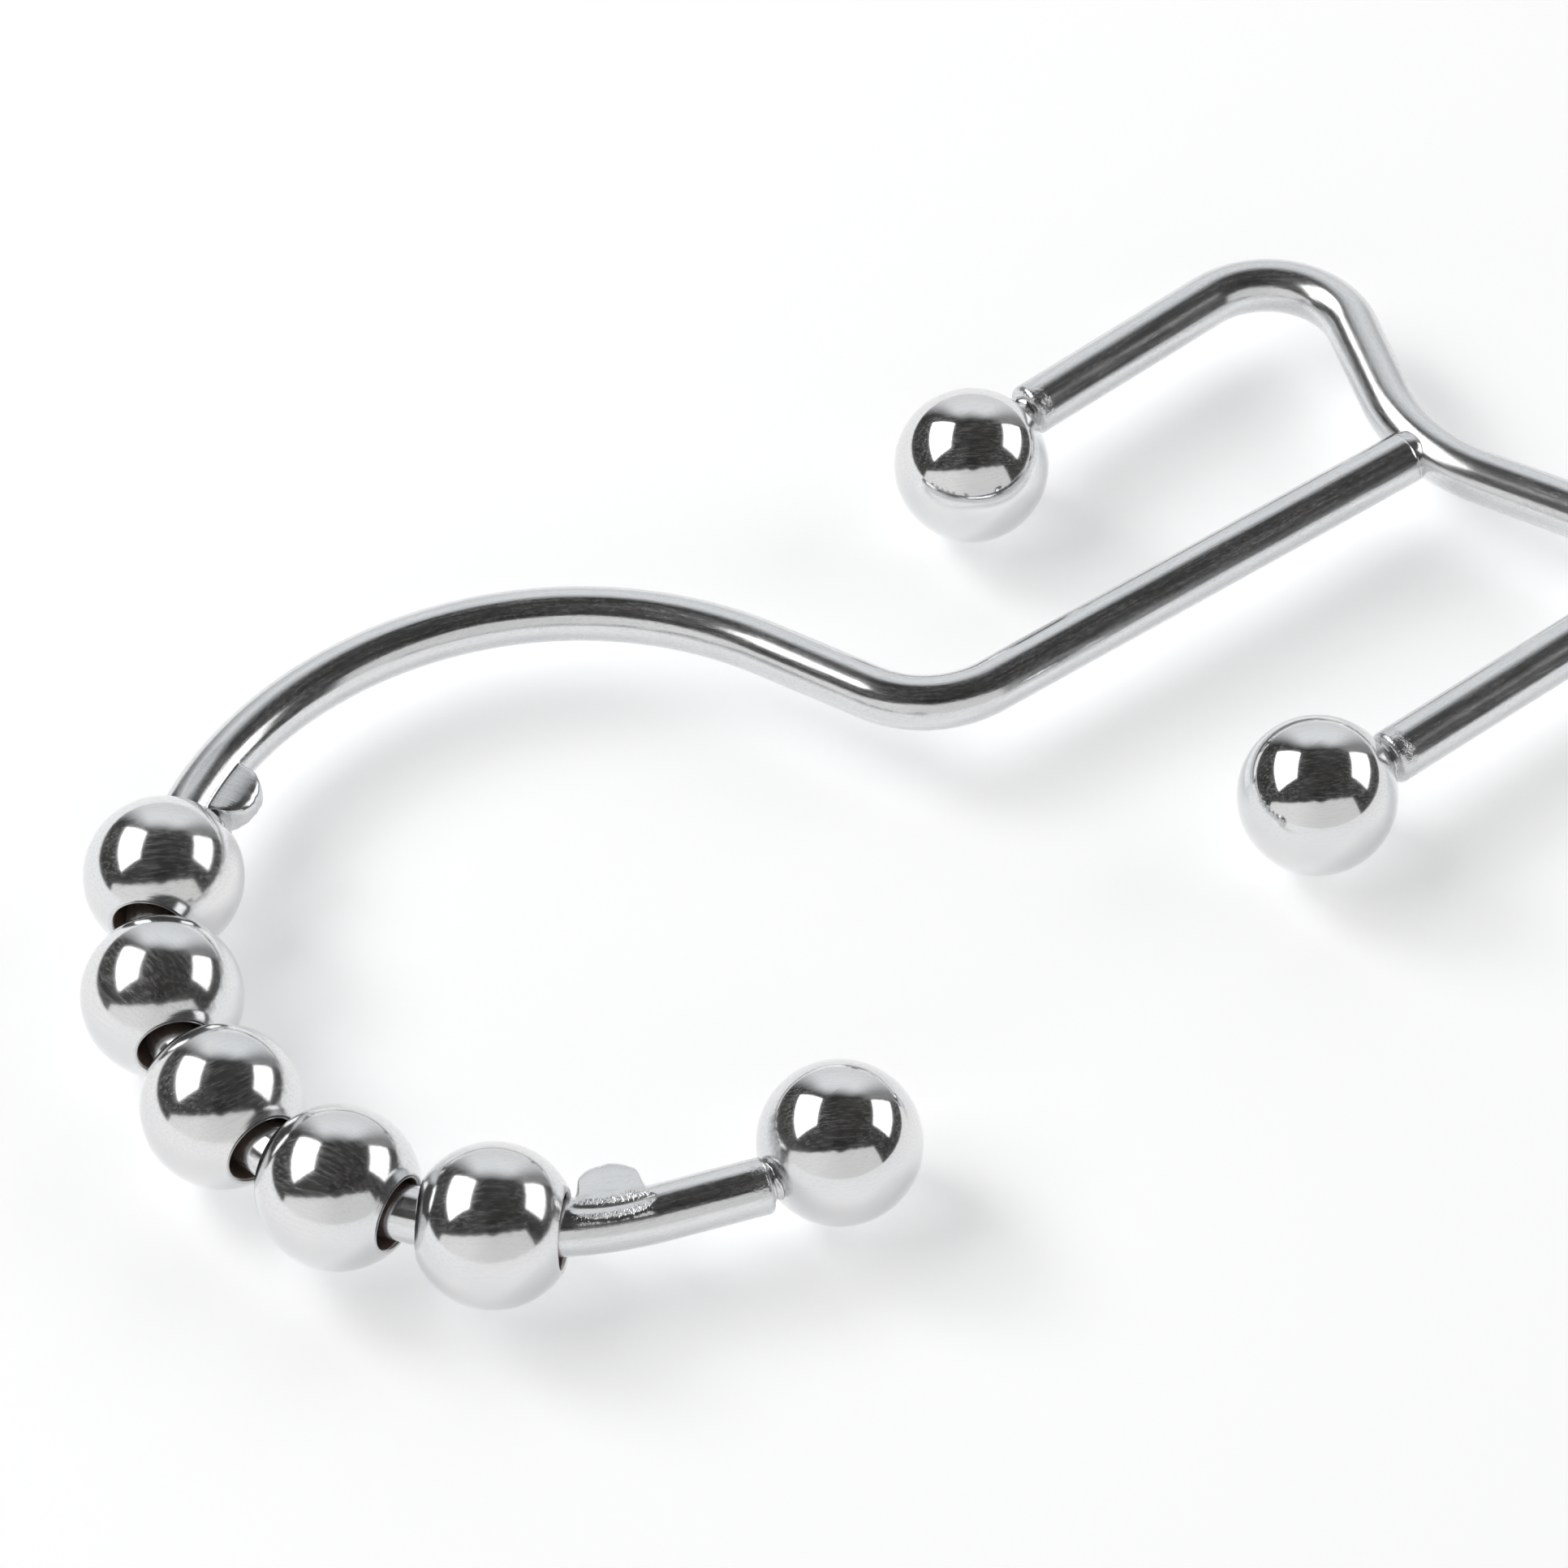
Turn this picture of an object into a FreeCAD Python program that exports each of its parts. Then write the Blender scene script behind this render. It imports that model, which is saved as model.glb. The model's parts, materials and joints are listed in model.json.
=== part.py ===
"""Double curtain hook for a round rod: a bent steel wire with five loose roller balls on its
rod arc, and a cross wire welded to its shank that ends in two small ball-tipped hooks.

Sizes are in millimetres and angles in degrees. The hook lies flat: its wires run in the plane
z = 0, and it rests on its balls. The origin is the centre of the rod arc, which is the rod's
axis. +X runs along the shank towards the two small hooks, and +Z is up. The arc's mouth, where
the rod goes in, faces -Y: the near hook is the one on that side, and the far hook the other.
"""
import FreeCAD, Part
import math
import os

# Wire and balls
wire_d = 2.8
ball_d = 8.0
end_rounding = 0.35

# Main wire: straight tip, rod arc, reverse bend and shank
rod_arc_r = 19.8
stop_to_tip = 2.46
tip_len = 5.1
arc_end_deg = 23.8
reverse_bend_r = 5.6
shank_offset = -0.9
shank_len = 26.45

# Stops, pressed out of the wire: thinnest at their far side, under two shallow round dents
first_stop_deg = 119.3
stop_d = 3.3
stop_thickness = 1.5
stop_slope_deg = 12.0
stop_rounding = 0.45
press_depth = 0.1
press_len = 4.2

# Rollers, threaded on the rod arc between the stops
roller_count = 5
first_stop_gap = 0.25
roller_gap = 0.24
loose_gap = 0.37
last_stop_gap = 0.06
roller_hang = 0.08
bore_gap = 0.08
bore_rounding = 0.2

# Cross wire: a shallow middle bend, two sloping runs, two round hook bends and two legs
weld_sink = 0.35
cross_turn_deg = 3.2
cross_offset = 0.13
middle_bend_r = 9.9
slope_deg = 22.3
slope_len = 5.4
hook_bend_r = 4.77
toe_in_deg = 0.7
far_leg_len = 12.4
near_leg_len = 14.1

# Welded balls: the neck from the wire's end, and how far the ball sits off the wire's line
neck_d = 1.8
neck_root = 0.6
tip_neck_len = 0.1
tip_lean_deg = 19.0
far_neck_len = 0.71
far_lean_deg = 13.1
near_neck_len = 0.16
near_lean_deg = -5.5

wire_r = wire_d / 2
ball_r = ball_d / 2
stop_r = stop_d / 2
up = FreeCAD.Vector(0, 0, 1)
origin = FreeCAD.Vector(0, 0, 0)


def heading_vector(deg):
    """Unit vector in the wires' plane, deg anticlockwise from +X."""
    return FreeCAD.Vector(math.cos(math.radians(deg)), math.sin(math.radians(deg)), 0)


class WireLine:
    """Centre line of a bent wire, drawn as straight runs and arcs that follow on smoothly."""

    def __init__(self, start, heading):
        self.point = start
        self.heading = heading
        self.edges = []

    def run(self, length):
        end = self.point + heading_vector(self.heading) * length
        self.edges.append(Part.makeLine(self.point, end))
        self.point = end

    def bend(self, radius, turn):
        """Bend by turn degrees: anticlockwise if positive."""
        side = math.copysign(1, turn)
        centre = self.point + heading_vector(self.heading + side * 90) * radius
        middle = centre + heading_vector(self.heading + turn / 2 - side * 90) * radius
        end = centre + heading_vector(self.heading + turn - side * 90) * radius
        self.edges.append(Part.Arc(self.point, middle, end).toShape())
        self.point = end
        self.heading += turn

    def wire(self):
        """Round wire swept along the line, with both end edges rounded."""
        path = Part.Wire(self.edges)
        start = self.edges[0].valueAt(self.edges[0].FirstParameter)
        along = self.edges[0].tangentAt(self.edges[0].FirstParameter)
        profile = Part.Wire(Part.makeCircle(wire_r, start, along))
        solid = path.makePipeShell([profile], True, False)
        ends = [edge for edge in solid.Edges if is_at(edge, start) or is_at(edge, self.point)]
        return solid.makeFillet(end_rounding, ends)


def is_at(edge, point):
    """Whether a round edge lies about a point of the wire's centre line."""
    return edge.CenterOfMass.distanceToPoint(point) < wire_r / 10


def clean(solid):
    """One solid, with its split faces joined."""
    solid = solid.removeSplitter()
    if len(solid.Solids) != 1 or not solid.isValid():
        raise ValueError("a piece is not one valid solid")
    return solid.Solids[0]


def save(name, solid):
    solid.exportStep(f"parts/{name}.step")
    box = solid.BoundBox
    print(f"{name:15s} volume {solid.Volume:8.2f}  x {box.XMin:7.2f} {box.XMax:7.2f}"
          f"  y {box.YMin:7.2f} {box.YMax:7.2f}  z {box.ZMin:6.2f} {box.ZMax:6.2f}")


def ball_place(end, heading, lean, neck_len):
    """Centre of a ball welded to a wire's end, whose line leaves the wire's by lean degrees."""
    return end + heading_vector(heading + lean) * (neck_len + ball_r)


def weld_neck(end, heading, centre):
    """Weld neck that leads from inside a wire's end to the centre of its ball."""
    root = end - heading_vector(heading) * neck_root
    reach = centre - root
    return Part.makeCylinder(neck_d / 2, reach.Length, root, reach)


def weld_to_ball(wire, end, heading, centre):
    """Wire with its weld neck, both cut to seat on the ball."""
    return wire.fuse(weld_neck(end, heading, centre)).cut(Part.makeSphere(ball_r, centre))


# Places along the rod arc
bend_rise = ball_r ** 2 / (2 * rod_arc_r)
bore_r = wire_r + bend_rise - roller_hang + bore_gap
bore_half_len = math.sqrt(ball_r ** 2 - bore_r ** 2)
rim_r = bore_r + bore_rounding
rim_half_len = math.sqrt((ball_r - bore_rounding) ** 2 - rim_r ** 2)
roller_arc_r = rod_arc_r - roller_hang
stop_arc_r = rod_arc_r - wire_r


def roller_pitch(gap):
    """Angle between two rollers whose bore rims come within gap on the inside of the arc."""
    reach = math.hypot(roller_arc_r - rim_r, rim_half_len)
    half = math.atan2(rim_half_len, roller_arc_r - rim_r)
    half += math.asin((bore_rounding + gap / 2) / reach)
    return 2 * math.degrees(half)


def stop_pitch(gap):
    """Angle between a stop and the roller that comes within gap of it."""
    apart = ball_r + stop_r + gap
    cosine = (roller_arc_r ** 2 + stop_arc_r ** 2 - apart ** 2) / (2 * roller_arc_r * stop_arc_r)
    return math.degrees(math.acos(cosine))


def roller_angles():
    """Angles of the rollers round the arc: they touch in a row, and the last has slid away."""
    angles = [first_stop_deg + stop_pitch(first_stop_gap)]
    for number in range(2, roller_count + 1):
        is_last = number == roller_count
        angles.append(angles[-1] + roller_pitch(loose_gap if is_last else roller_gap))
    return angles


roller_degs = roller_angles()
last_stop_deg = roller_degs[-1] + stop_pitch(last_stop_gap)
tip_deg = last_stop_deg + math.degrees(stop_to_tip / rod_arc_r)


def main_line():
    """Line of the main wire, from its tip to the end of its shank."""
    start_heading = tip_deg - 90
    start = heading_vector(tip_deg) * rod_arc_r - heading_vector(start_heading) * tip_len
    line = WireLine(start, start_heading)
    line.run(tip_len)
    line.bend(rod_arc_r, arc_end_deg - tip_deg)
    turn = 90 - arc_end_deg
    bend_drop = reverse_bend_r * (1 - math.cos(math.radians(turn)))
    fall = line.point.y - shank_offset - bend_drop
    line.run(fall / math.sin(math.radians(turn)))
    line.bend(reverse_bend_r, turn)
    line.run(shank_len)
    return line


def stop_ear(deg):
    """Round stop that the press has squeezed out of the wire: half of it shows inside the arc."""
    margin = stop_r / 10
    outer = stop_arc_r - stop_r - margin
    inner = stop_arc_r + stop_r + margin
    slope = math.tan(math.radians(stop_slope_deg))
    thin = stop_thickness / 2 - margin * slope
    thick = thin + (inner - outer) * slope
    corners = [(outer, -thin), (inner, -thick), (inner, thick), (outer, thin)]
    points = [FreeCAD.Vector(x, -stop_d, z) for x, z in corners]
    section = Part.Face(Part.makePolygon(points + points[:1]))
    wedge = section.extrude(FreeCAD.Vector(0, 2 * stop_d, 0))
    base = FreeCAD.Vector(stop_arc_r, 0, -2 * thick)
    ear = wedge.common(Part.makeCylinder(stop_r, 4 * thick, base, up))
    rims = [edge for edge in ear.Edges if edge.Closed]
    largest = 0.45 * stop_thickness
    ear = ear.makeFillet(min(stop_rounding, largest), rims)
    ear.rotate(origin, up, deg)
    return ear


def press_dents(deg):
    """Round bars that leave the shallow dents of the press above and below a stop."""
    bar_r = (press_len / 2) ** 2 / (2 * press_depth) + press_depth / 2
    bars = []
    for side in (1, -1):
        height = side * (wire_r - press_depth + bar_r)
        start = FreeCAD.Vector(stop_arc_r - stop_d, 0, height)
        bar = Part.makeCylinder(bar_r, wire_d + stop_d, start, FreeCAD.Vector(1, 0, 0))
        bar.rotate(origin, up, deg)
        bars.append(bar)
    return bars


def cross_line(middle, heading):
    """Line of the cross wire through its middle, from the far leg's end to the near one's.

    heading is the way that the hook bends bulge.
    """
    toe = math.radians(toe_in_deg)
    slope = math.radians(slope_deg)
    out = middle_bend_r * (1 - math.cos(slope)) + slope_len * math.sin(slope)
    aside = middle_bend_r * math.sin(slope) + slope_len * math.cos(slope)
    out += hook_bend_r * (math.sin(toe) - math.cos(slope))
    aside += hook_bend_r * (math.sin(slope) + math.cos(toe))
    out -= far_leg_len * math.cos(toe)
    aside -= far_leg_len * math.sin(toe)
    start = middle + heading_vector(heading) * out + heading_vector(heading + 90) * aside
    line = WireLine(start, heading + toe_in_deg)
    turn = 90 + slope_deg + toe_in_deg
    line.run(far_leg_len)
    line.bend(hook_bend_r, -turn)
    line.run(slope_len)
    line.bend(middle_bend_r, 2 * slope_deg)
    line.run(slope_len)
    line.bend(hook_bend_r, -turn)
    line.run(near_leg_len)
    return line


def roller(deg):
    """Turned ball with a plain bore, its rims slightly rounded and its axis along the arc."""
    rim_a = FreeCAD.Vector(-bore_half_len, bore_r, 0)
    rim_b = FreeCAD.Vector(bore_half_len, bore_r, 0)
    crown = Part.Arc(rim_a, FreeCAD.Vector(0, ball_r, 0), rim_b).toShape()
    section = Part.Face(Part.Wire([crown, Part.makeLine(rim_b, rim_a)]))
    solid = section.revolve(origin, FreeCAD.Vector(1, 0, 0), 360)
    rims = [edge for edge in solid.Edges if edge.Closed]
    solid = solid.makeFillet(bore_rounding, rims)
    solid.rotate(origin, up, deg + 90)
    solid.translate(heading_vector(deg) * roller_arc_r)
    return solid


def build_main_wire():
    """Main wire with its two stops, and the ball welded to its tip."""
    line = main_line()
    tip = line.edges[0].valueAt(line.edges[0].FirstParameter)
    tip_heading = tip_deg + 90
    tip_ball = ball_place(tip, tip_heading, tip_lean_deg, tip_neck_len)
    wire = line.wire()
    for deg in (first_stop_deg, last_stop_deg):
        wire = wire.fuse(stop_ear(deg)).cut(press_dents(deg))
    wire = weld_to_ball(wire, tip, tip_heading, tip_ball)
    return wire, tip_ball, line.point


def build_cross_wire(shank_end):
    """Cross wire, and the places of the two balls welded to its legs."""
    middle = shank_end + FreeCAD.Vector(wire_r - weld_sink, cross_offset, 0)
    line = cross_line(middle, cross_turn_deg)
    far_end = line.edges[0].valueAt(line.edges[0].FirstParameter)
    near_end = line.point
    far_heading = cross_turn_deg + 180 + toe_in_deg
    near_heading = line.heading
    far_ball = ball_place(far_end, far_heading, far_lean_deg, far_neck_len)
    near_ball = ball_place(near_end, near_heading, near_lean_deg, near_neck_len)
    wire = weld_to_ball(line.wire(), far_end, far_heading, far_ball)
    wire = weld_to_ball(wire, near_end, near_heading, near_ball)
    return wire, far_ball, near_ball


def main():
    os.makedirs("parts", exist_ok=True)
    main_wire, tip_ball, shank_end = build_main_wire()
    cross_wire, far_ball, near_ball = build_cross_wire(shank_end)
    save("main_wire", clean(main_wire.cut(cross_wire)))
    save("cross_wire", clean(cross_wire))
    welded_balls = {"tip_ball": tip_ball, "far_hook_ball": far_ball, "near_hook_ball": near_ball}
    for name, centre in welded_balls.items():
        save(name, Part.makeSphere(ball_r, centre))
        print(f"  centre {centre.x:.3f} {centre.y:.3f}")
    for number, deg in enumerate(roller_degs, 1):
        save(f"roller_{number}", clean(roller(deg)))
        print(f"  arc angle {deg:.3f}")
    print(f"bore {2 * bore_r:.3f}  last stop at {last_stop_deg:.3f}")


main()
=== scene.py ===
"""Looks of the double curtain hook: chrome-plated steel, lying on a white table in a small studio.

The wires are drawn again here, finer than the solids, with their drawing lines, the marks of the
press and the welds. Their sizes are in millimetres, and everything is scaled to metres at the end.
The hook lies in the plane z = 0 and the table is one ball radius lower. The studio is laid out
about the hook as the camera sees it: azimuth 0 is straight ahead, over the hook to the backdrop,
azimuth 90 is to the right, and 180 is behind the camera. A grey is a pair: its brightness, and how
much bluer than neutral it is.
"""
import json
import math
from typing import NamedTuple

import bpy
from mathutils import Matrix, Vector, noise


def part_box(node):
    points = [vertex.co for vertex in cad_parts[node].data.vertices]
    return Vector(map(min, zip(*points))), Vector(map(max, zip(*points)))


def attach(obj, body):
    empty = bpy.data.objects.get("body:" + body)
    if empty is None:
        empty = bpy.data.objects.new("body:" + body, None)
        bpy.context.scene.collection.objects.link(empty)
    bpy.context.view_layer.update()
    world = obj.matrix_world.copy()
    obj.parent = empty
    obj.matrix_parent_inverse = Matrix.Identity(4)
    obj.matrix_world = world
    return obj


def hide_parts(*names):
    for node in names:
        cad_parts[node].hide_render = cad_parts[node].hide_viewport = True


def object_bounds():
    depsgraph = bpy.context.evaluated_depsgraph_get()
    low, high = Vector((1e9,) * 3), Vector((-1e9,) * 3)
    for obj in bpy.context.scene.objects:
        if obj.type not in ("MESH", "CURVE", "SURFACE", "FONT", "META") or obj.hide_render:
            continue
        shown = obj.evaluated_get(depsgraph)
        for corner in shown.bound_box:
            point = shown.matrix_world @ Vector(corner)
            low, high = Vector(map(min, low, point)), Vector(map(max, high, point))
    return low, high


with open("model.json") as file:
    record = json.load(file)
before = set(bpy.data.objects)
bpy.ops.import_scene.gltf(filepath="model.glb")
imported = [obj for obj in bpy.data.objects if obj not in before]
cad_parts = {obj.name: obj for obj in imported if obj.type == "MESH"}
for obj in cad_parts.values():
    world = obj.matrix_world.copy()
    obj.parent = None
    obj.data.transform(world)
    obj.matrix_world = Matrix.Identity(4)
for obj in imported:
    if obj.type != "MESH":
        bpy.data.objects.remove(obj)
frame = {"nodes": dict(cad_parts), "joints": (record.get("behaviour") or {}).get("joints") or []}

cad_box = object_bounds()

MM = 0.001
MICRON = 0.000001
UP = Vector((0.0, 0.0, 1.0))
WHITE = (1.0, 1.0, 1.0, 1.0)


class Stop(NamedTuple):
    """Stop pressed out of the rod arc's wire: an ear on the arc's inside between two dents."""

    deg: float      # its place on the arc, in degrees
    dent: float     # how deep the dents are
    thin: float     # half the ear's thickness at its rim
    slope: float    # how the ear thickens from there towards the wire
    curve: float    # how its faces curve down beyond ROUND_FROM


class Finish(NamedTuple):
    """Plating from its clearest spots to its haziest: each is a pair of values."""

    roughness: tuple
    scuffs: tuple   # share of the surface that scratches have dulled
    greys: tuple


def beyond_deg(point, radius, apart):
    """Place in degrees on a circle about the origin: beyond a point, and so far apart from it."""
    reach = point.length
    turn = math.acos((reach ** 2 + radius ** 2 - apart ** 2) / (2 * reach * radius))
    return math.degrees(math.atan2(point.y, point.x) + turn) % 360


# Wires and balls
WIRE_R = 1.4
BALL_R = 4.0
END_ROUNDING = 0.35

# Main wire: tip, rod arc about the origin, reverse bend and shank
ARC_R = 19.8
STOP_TO_TIP = 2.46
TIP_LEN = 5.1
ARC_END_DEG = 23.8
REVERSE_R = 5.6
SHANK_OFFSET = -0.9
SHANK_LEN = 26.45

# Stops
FIRST_STOP_DEG = 119.3
LAST_STOP_GAP = 0.06
LAST_EAR_SLOPE_DEG = 12.0
STOP_R = 1.65
STOP_ROUNDING = 0.5
STOP_SIDE_FADE = 0.25
EAR_LEAST_FACING = 0.15
EAR_LEAST_RISE = 0.01
EAR_ROUNDS = 3
ROUND_FROM = 1.9
RAGGED_RIM = 0.07
RAGGED_ALONG = 2.2
RAGGED_ROUND = 3.0
RAGGED_SEED = 7.0
PRESS_HALF = 2.1
DENT_LEAST_TILT = 0.5

# Cross wire
WELD_SINK = 0.35
CROSS_TURN = 3.2
CROSS_OFFSET = 0.13
MIDDLE_R = 9.9
SLOPE_DEG = 22.3
SLOPE_LEN = 5.4
HOOK_R = 4.77
TOE_IN = 0.7
FAR_LEG = 12.4
NEAR_LEG = 14.1

# Welds: necks between a wire and its ball, and a collar where the shank meets the cross wire
NECK_R = 0.84
NECK_IN_WIRE = 0.3
NECK_IN_BALL = 0.12
NECK_BALL_FLARE = 0.16
NECK_BALL_ZONE = (0.55, 1.0)
NECK_WIRE_FLARE = 0.1
NECK_WIRE_ZONE = (0.5, 0.3)
NECK_STEPS = 14
NECK_LUMPS = 0.1
COLLAR_BACK = 0.45
COLLAR_OUTLINE = ((0.0, 1.2), (0.1, 1.36), (0.3, 1.375), (0.6, 1.36), (0.85, 1.3), (1.1, 1.1))
COLLAR_LUMPS = 0.02
LUMP_SCALE = 1.9
FINE_LUMP_SCALE = 5.0

# How finely the meshes are drawn
WIRE_SIDES = 96
TURNED_SIDES = 48
RING_STEP = 0.22
STOP_RING_STEP = 0.06
STOP_RING_MARGIN = 0.2
END_RING_STEP = 0.05
END_RING_ZONE = 1.2

# Platings, then the noise values between which their marks come up
MAIN_WIRE_FINISH = Finish(roughness=(0.1, 0.2), scuffs=(0.0, 0.3),
                          greys=((0.72, 0.014), (0.76, 0.006)))
CROSS_WIRE_FINISH = MAIN_WIRE_FINISH._replace(roughness=(0.13, 0.26))
BALL_FINISH = Finish(roughness=(0.06, 0.15), scuffs=(0.05, 0.4),
                     greys=((0.755, 0.008), (0.78, 0.0)))
ROLLER_FINISH = Finish(roughness=(0.09, 0.18), scuffs=(0.06, 0.38),
                       greys=((0.745, 0.012), (0.775, 0.0)))
WELD_FINISH = Finish(roughness=(0.1, 0.2), scuffs=(0.02, 0.2),
                     greys=((0.64, 0.01), (0.75, 0.0)))
SCUFF_ROUGHNESS = 0.5
HAZE_SHADE = (0.3, 0.7)
LUMP_SHADE = (0.35, 0.65)
WIRE_SCUFFS_FADE = (0.42, 0.68)
BALL_SCUFFS_FADE = (0.42, 0.74)
ROLLER_WORN_FADE = (0.42, 0.62)
PATCHY_FADE = (0.45, 0.65)
PATCHY_SPATTER = 0.25

# Marks in the plating of a wire: in turns from its top, and millimetres from a stop or an end
WIRE_MAP = "wire_map"
DENT_EDGE_TURNS = (0.02, 0.09)
EAR_FACE_TURNS = (0.08, 0.24)
TURN_SOFT = 0.02
PRESS_FADE = (PRESS_HALF + 0.1, PRESS_HALF - 0.6)
PRESS_ROUGHNESS = 0.06
SHALLOW_DENT = 0.05
END_FADE = (1.0, 0.55)
END_RAGGED = 0.9
END_SCUFFS = 0.12

# Marks in the plating of a ball: by its weld, round its bore, and up from its middle. The streaks
# are how far each roller's polishing lines are turned
SPLASH_FADE = (4.0 * MM, 0.9 * MM)
SPLASH_ROUGHNESS = 0.1
SPLASH_SCUFFS = 0.16
BALL_SEED_STEP = 0.05
ROLLER_SEED_STEP = Vector((0.031, 0.017, 0.0))
ROLLER_STREAKS_DEG = (32.0, 80.0, 5.0, 60.0, 32.0)
BORE_R = 1.804
BORE_MARKS_FADE = (3.0 * MM, 2.1 * MM)
BORE_MARKS_SCALE = 6500.0
BORE_ROUGHNESS = 0.04
# Dark brown diffuse on the bore's wall: where it comes in, its colour and its share
BORE_BROWN_FADE = ((BORE_R + 0.12) * MM, (BORE_R + 0.02) * MM)
BORE_RIM = ((BORE_R + 0.07) * MM, (BORE_R + 0.25) * MM)
BORE_RIM_SOFT = 0.04 * MM
BORE_RIM_SCUFFS = 0.55
BORE_BROWN = (0.2, 0.14, 0.11, 1.0)
BORE_BROWN_SHARE = 0.7
UPPER_FADE = (0.2 * MM, 2.2 * MM)

# Camera: its heading on the table, clockwise from the hook's +Y, and what it looks at
VIEW_HEADING = math.radians(31.65)
VIEW_ELEVATION_DEG = 48.38
VIEW_ROLL_DEG = -4.11
VIEW_DISTANCE = 353.0 * MM
VIEW_TARGET = Vector((13.61, 0.0, 0.0)) * MM
SENSOR = 36.0
LENS = 163.0
CLIP_START = 0.01
CLIP_END = 20.0

# Table: it fades to plain white between two distances from the hook, and has a painted glow
TABLE_Z = cad_box[0].z
TABLE_SIZE = 6.0
TABLE_GREY = (0.9, 0.0)
# Painted glow: the table glows evenly for every ray, which lifts the hook's shadows on it
TABLE_PAINTED_GLOW = 0.38
TABLE_PAINTED_GLOW_GREY = (1.0, 0.01)
TABLE_FADE = (0.11, 0.3)
FAR_GLOW_MIRRORED = 1.02
FAR_GLOW_SEEN = 1.08

# Cards round the table: places across and up them are shares of their distance from the hook
CARD_FOOT_FADE = (-0.3, -0.2)
LEAST_AHEAD = 0.001
HORIZON_FADE = (0.0, -0.01)
ROOM_CLUTTER_SCALE = 3.0
ROOM_CLUTTER_FADE = (0.35, 0.65)
ROOM_GREYS = ((0.034, -0.04), (0.055, -0.03))
PAPER_AZIMUTH = 7.0
PAPER_HALF = 0.33
PAPER_SIDE_FADE = 0.52
PAPER_TOP = 0.8
PAPER_TOP_FADE = 1.16
PAPER_SHADE = (0.0, 0.7)
PAPER_GREYS = ((0.785, 0.015), (0.895, 0.02))
STRIP_AZIMUTH = 48.0
STRIP_SIDES = (-0.3, 0.1)
STRIP_SOFT = 0.04
STRIP_TOP_FADE = (1.3, 0.7)
STRIP_GREY = (0.25, 0.0)
WALL_AZIMUTH = 178.0
WALL_SIDES = (-1.28, 4.6)
WALL_HEIGHTS = (-0.2, 0.83)
WALL_SOFT = 0.03
WALL_RAGGED = 0.16
WALL_RAGGED_SCALE = 7.0
WALL_SHADE = (-0.1, 0.9)
WALL_GREYS = ((0.742, -0.006), (0.88, -0.006))
LENS_SPOT_DEG = (11.0, 10.0)
LENS_SPOT_GREY = (0.026, 0.0)

# The last stop stands a gap beyond the last roller, and the wire bends off to its tip after it
hinges = {joint["child"]: joint for joint in frame["joints"]}
last_roller = Vector(hinges[f"roller_{len(ROLLER_STREAKS_DEG)}"]["pos_m"]) / MM
last_stop_deg = beyond_deg(last_roller, ARC_R - WIRE_R, BALL_R + STOP_R + LAST_STOP_GAP)
tip_deg = last_stop_deg + math.degrees(STOP_TO_TIP / ARC_R)
arc_stops = (Stop(deg=FIRST_STOP_DEG, dent=0.03, thin=0.55, slope=0.0, curve=0.213),
             Stop(deg=last_stop_deg, dent=0.22, thin=0.75,
                  slope=math.tan(math.radians(LAST_EAR_SLOPE_DEG)), curve=0.0))


def studio_point(azimuth, elevation, distance=1.0):
    """Point of the studio at azimuth and elevation degrees, seen from the hook."""
    across = math.radians(azimuth) + VIEW_HEADING
    rise = math.radians(elevation)
    flat = math.cos(rise) * distance
    return Vector((math.sin(across) * flat, math.cos(across) * flat, math.sin(rise) * distance))


def way(heading):
    """Unit vector in the wires' plane, anticlockwise from +X."""
    return Vector((math.cos(heading), math.sin(heading), 0.0))


def grey(value, cool):
    return (value * (1 - cool), value, value * (1 + cool), 1.0)


def turned_to(direction, roll):
    """Rotation of a camera or a lamp that looks in that direction, rolled by degrees."""
    aim = direction.to_track_quat("-Z", "Y").to_matrix()
    return (aim @ Matrix.Rotation(math.radians(roll), 3, "Z")).to_euler()


def make_camera():
    data = bpy.data.cameras.new("camera")
    data.sensor_width = SENSOR
    data.lens = LENS
    data.clip_start = CLIP_START
    data.clip_end = CLIP_END
    camera = bpy.data.objects.new("camera", data)
    back = studio_point(180.0, VIEW_ELEVATION_DEG, VIEW_DISTANCE)
    camera.location = VIEW_TARGET + back
    camera.rotation_euler = turned_to(-back, VIEW_ROLL_DEG)
    bpy.context.scene.collection.objects.link(camera)
    bpy.context.scene.camera = camera


def softbox(name, place, facing, roll, width, height, radiance, mirrored=True):
    """Rectangular soft lamp at a place in the studio, shining against the direction facing.

    One that is not mirrored lights the table but is not seen in the plating.
    """
    data = bpy.data.lights.new(name, "AREA")
    data.shape = "RECTANGLE"
    data.size = width
    data.size_y = height
    data.energy = radiance * math.pi * width * height
    lamp = bpy.data.objects.new(name, data)
    lamp.location = studio_point(*place)
    lamp.rotation_euler = turned_to(-studio_point(*facing), roll)
    lamp.visible_camera = False
    lamp.visible_glossy = mirrored
    bpy.context.scene.collection.objects.link(lamp)


def make_lamps():
    """Two lamps that the plating mirrors, and the bright core of the left one."""
    softbox("left_softbox", place=(-71.4, 52.6, 0.678), facing=(-69.9, 11.6), roll=3.1,
            width=0.578, height=0.502, radiance=2.7)
    softbox("left_softbox_core", place=(-52.0, 35.0, 0.7), facing=(-52.0, 35.0), roll=0.0,
            width=0.24, height=0.2, radiance=6.3, mirrored=False)
    softbox("right_softbox", place=(76.9, 31.0, 2.67), facing=(84.0, 1.5), roll=-1.4,
            width=1.88, height=1.47, radiance=1.7)


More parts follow.
